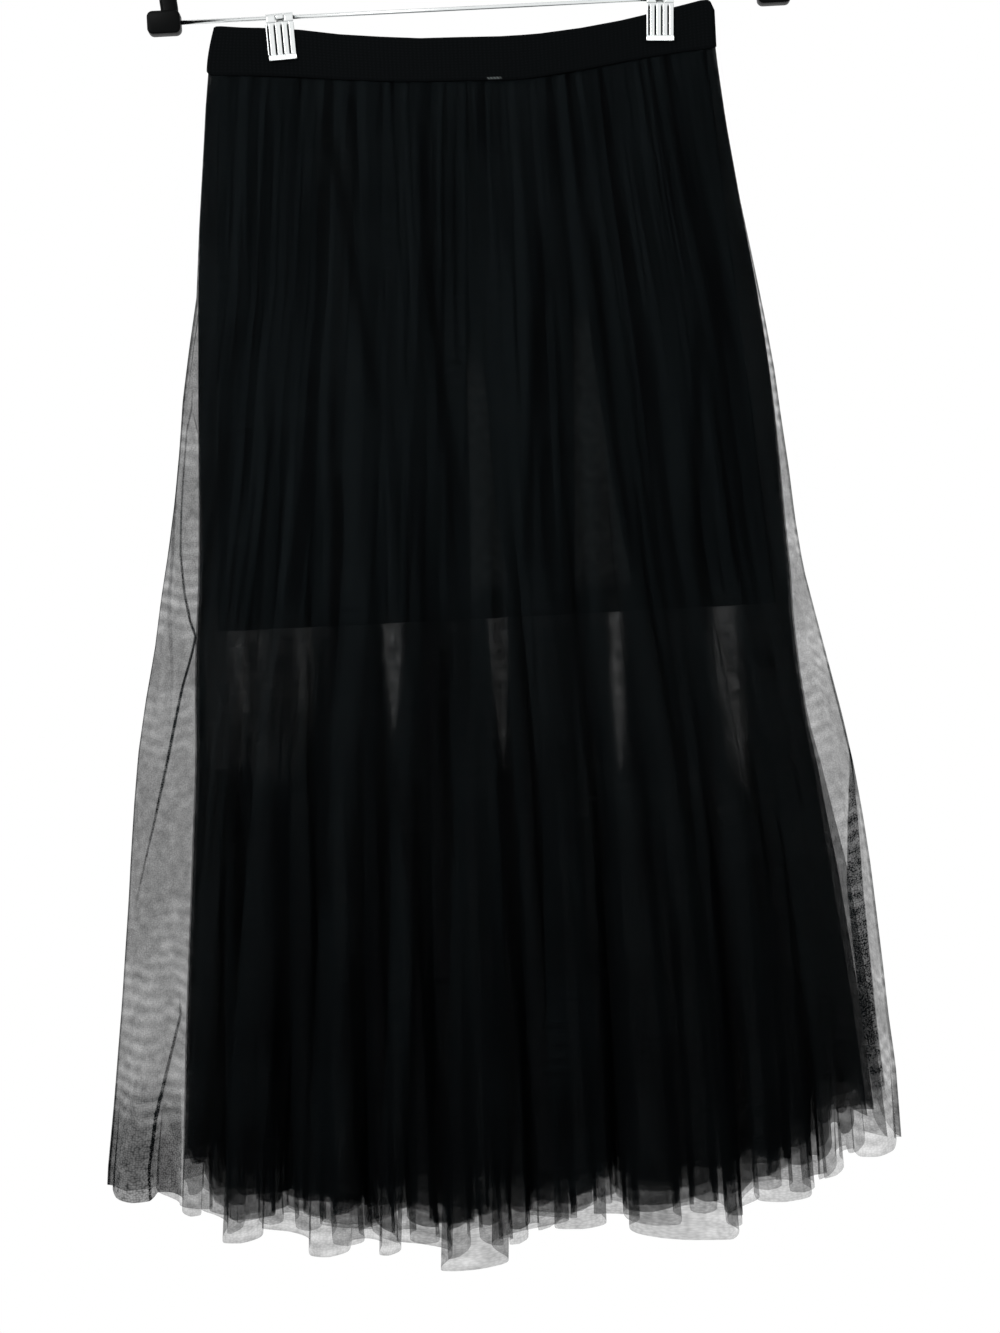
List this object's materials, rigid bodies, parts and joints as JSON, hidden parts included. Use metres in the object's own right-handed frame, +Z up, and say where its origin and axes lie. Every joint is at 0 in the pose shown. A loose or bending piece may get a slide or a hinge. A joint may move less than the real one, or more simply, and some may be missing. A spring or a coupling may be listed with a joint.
{
  "type": "tulle skirt on a clip hanger",
  "caption": "Layered black tulle midi skirt with a gathered elastic waist and short lining, held by two clips on a skirt hanger.",
  "frame": {"origin": "inner top of the hanger's hook, where a rail carries it", "axes": "+Z up, front of the skirt towards -Y, +X to the right as seen from the front"},
  "size_m": [0.5551, 0.1584, 1.049],
  "materials": {
    "tulle": "sheer black net, matt with a faint dry sheen",
    "lining": "opaque black jersey, matt",
    "waistband": "flat black elastic knit, matt",
    "hanger_plastic": "moulded black plastic, satin",
    "chrome": "bright plated steel"
  },
  "bodies": {
    "root": {"hanger_hook": "chrome", "hanger_neck": "hanger_plastic", "hanger_arm_left": "hanger_plastic", "hanger_arm_right": "hanger_plastic", "hanger_end_left": "hanger_plastic", "hanger_end_right": "hanger_plastic", "hanger_bar": "chrome", "clip_left_front": "chrome", "clip_left_back": "chrome", "clip_right_front": "chrome", "clip_right_back": "chrome", "waistband_front": "waistband", "waistband_back": "waistband", "tulle_outer_front": "tulle", "tulle_outer_back": "tulle", "tulle_inner_front": "tulle", "tulle_inner_back": "tulle", "lining_front": "lining", "lining_back": "lining"}
  },
  "joints": []
}
